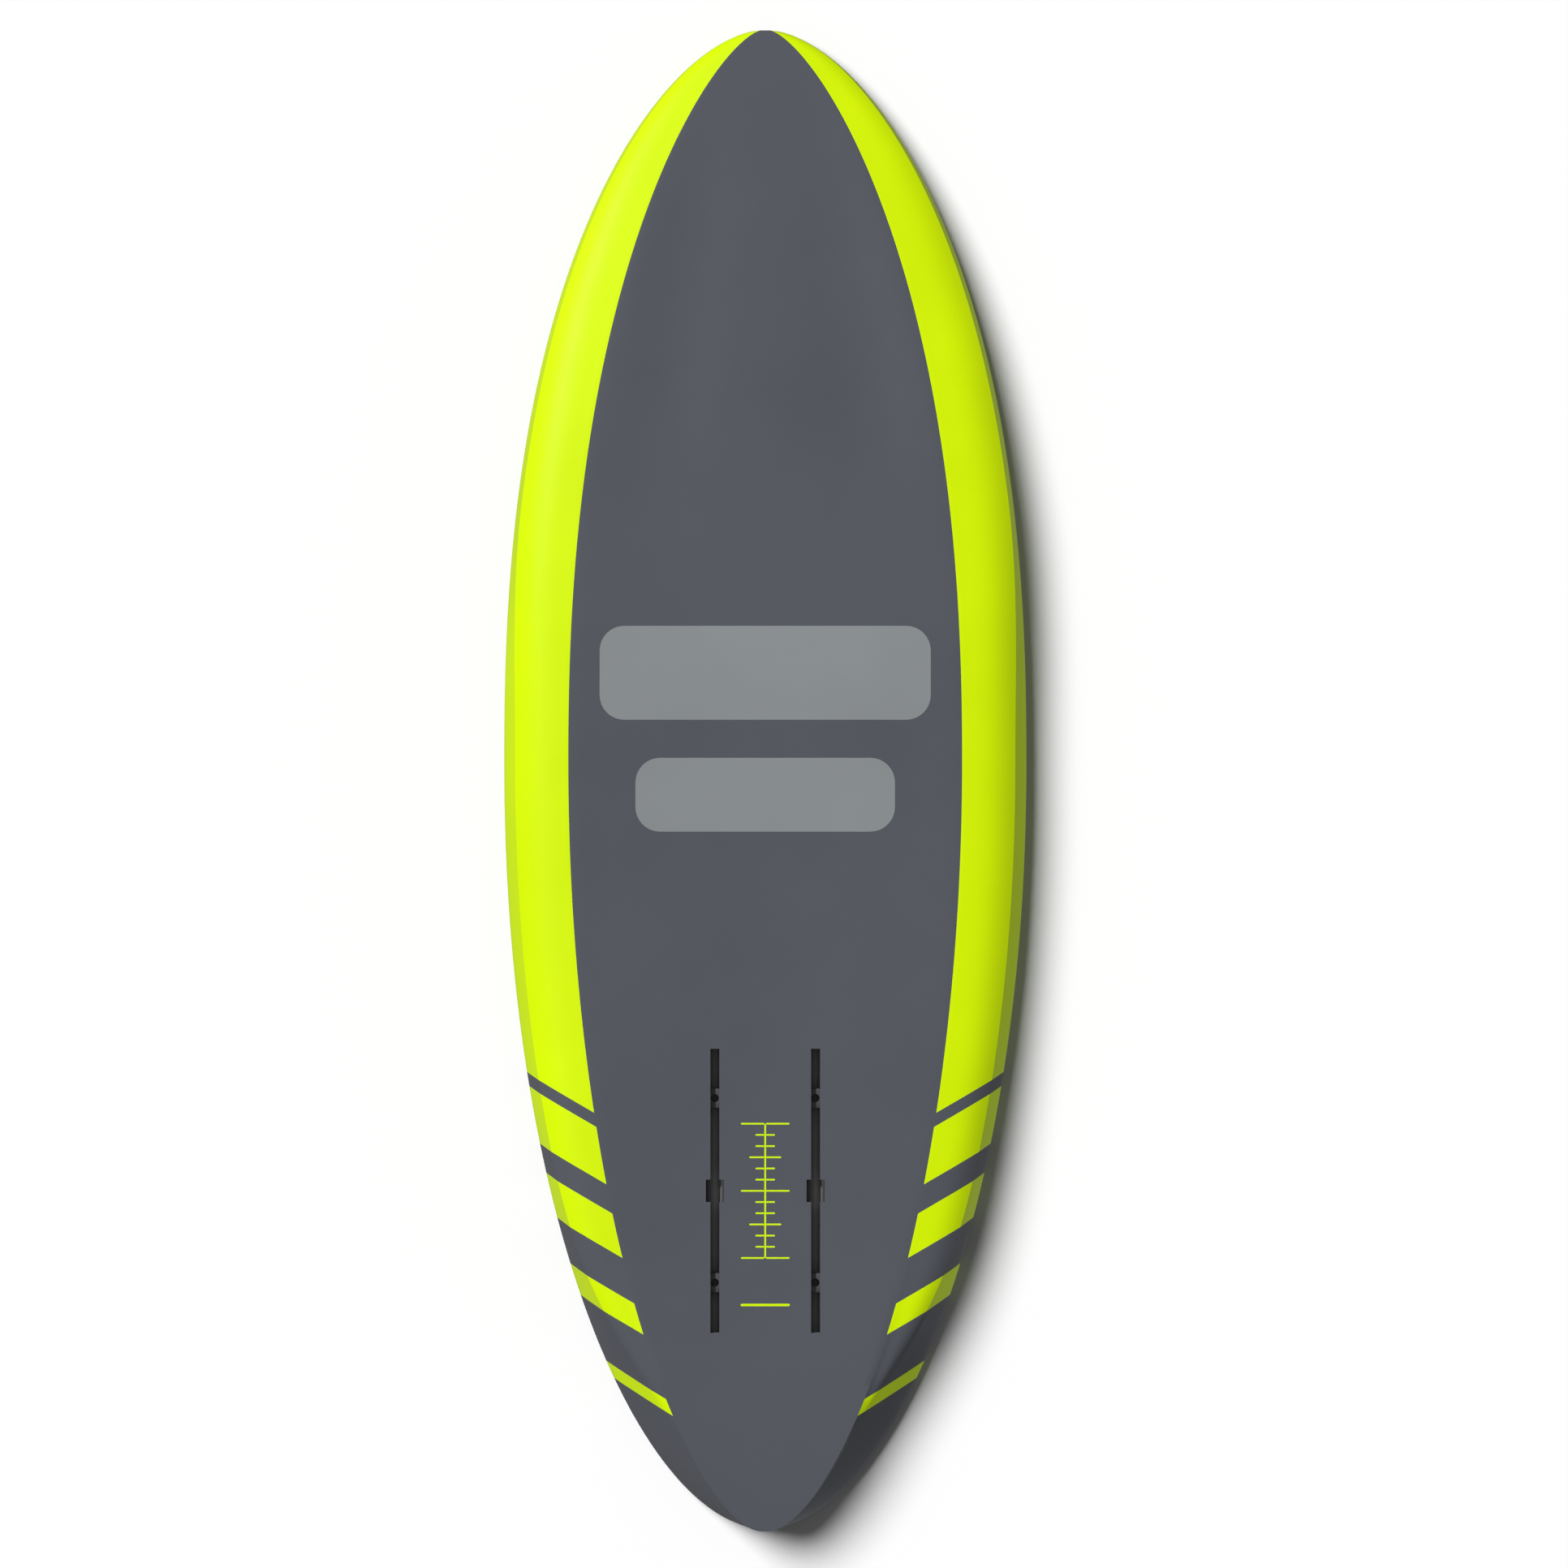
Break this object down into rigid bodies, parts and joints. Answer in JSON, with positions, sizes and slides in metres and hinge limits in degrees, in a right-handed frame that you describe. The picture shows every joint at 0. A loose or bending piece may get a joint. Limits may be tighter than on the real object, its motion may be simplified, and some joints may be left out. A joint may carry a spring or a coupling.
{
  "type": "foil board",
  "caption": "Short hydrofoil board with a flat hull panel, rounded rails, twin mast tracks with sliding nuts, and deck pads, a vent and a leash plug on the other side.",
  "frame": {"origin": "centre of the board in plan, on the plane of the deck pads' outer faces that it lies on", "axes": "+Y to the nose, +Z out of the hull, +X to the right of a viewer who faces the hull with the nose up"},
  "size_m": [0.469, 1.346, 0.077],
  "materials": {
    "hull_grey": "smooth satin paint",
    "rail_lime": "smooth gloss paint",
    "mark_grey": "printed under the clear coat",
    "core_foam": "expanded polystyrene beads",
    "dense_foam": "closed-cell sheet foam",
    "stringer_wood": "planed strip",
    "black_plastic": "moulded, fine texture",
    "black_steel": "blackened",
    "bright_steel": "polished stainless",
    "seal_rubber": "smooth",
    "pad_foam": "grooved soft foam"
  },
  "bodies": {
    "board": {"bottom_skin": "hull_grey", "deck_skin": "rail_lime", "core_left": "core_foam", "core_right": "core_foam", "core_centre_front": "core_foam", "core_centre_tail": "core_foam", "stringer_left": "stringer_wood", "stringer_right": "stringer_wood", "foil_box_block": "dense_foam", "deck_sandwich_sheet": "dense_foam", "track_left": "black_plastic", "track_right": "black_plastic", "vent_housing": "black_plastic", "leash_plug_cup": "black_plastic", "leash_bar": "bright_steel", "front_pad_left": "pad_foam", "front_pad_right": "pad_foam", "rear_pad_left": "pad_foam", "rear_pad_right": "pad_foam", "tail_pad": "pad_foam", "strap_insert_front_left_inner": "black_plastic", "strap_insert_front_left_outer": "black_plastic", "strap_insert_front_right_inner": "black_plastic", "strap_insert_front_right_outer": "black_plastic", "strap_insert_rear_left": "black_plastic", "strap_insert_rear_right": "black_plastic"},
    "t_nut_left_front": {"t_nut_left_front": "black_steel"},
    "t_nut_left_rear": {"t_nut_left_rear": "black_steel"},
    "t_nut_right_front": {"t_nut_right_front": "black_steel"},
    "t_nut_right_rear": {"t_nut_right_rear": "black_steel"},
    "vent_screw": {"vent_screw": "bright_steel"},
    "vent_seal": {"vent_seal": "seal_rubber"}
  },
  "joints": [
    {"name": "slide_t_nut_left_front", "type": "slide", "parent": "board", "child": "t_nut_left_front", "axis": [0, 1, 0], "range_m": [-0.0725, 0.0345]},
    {"name": "slide_t_nut_left_rear", "type": "slide", "parent": "board", "child": "t_nut_left_rear", "axis": [0, 1, 0], "range_m": [-0.0345, 0.0725]},
    {"name": "slide_t_nut_right_front", "type": "slide", "parent": "board", "child": "t_nut_right_front", "axis": [0, 1, 0], "range_m": [-0.0725, 0.0345]},
    {"name": "slide_t_nut_right_rear", "type": "slide", "parent": "board", "child": "t_nut_right_rear", "axis": [0, 1, 0], "range_m": [-0.0345, 0.0725]},
    {"name": "vent_lift", "type": "slide", "parent": "board", "child": "vent_seal", "axis": [0, 0, -1], "range_m": [0, 0.00375]},
    {"name": "vent_turn", "type": "hinge", "parent": "vent_seal", "child": "vent_screw", "pos_m": [0, 0.39, 0.0065], "axis": [0, 0, -1], "range_deg": [0, 1083]}
  ],
  "couplings": [
    {"joint": "vent_turn", "follows": "vent_lift", "rad_per_m": 5026.5}
  ]
}
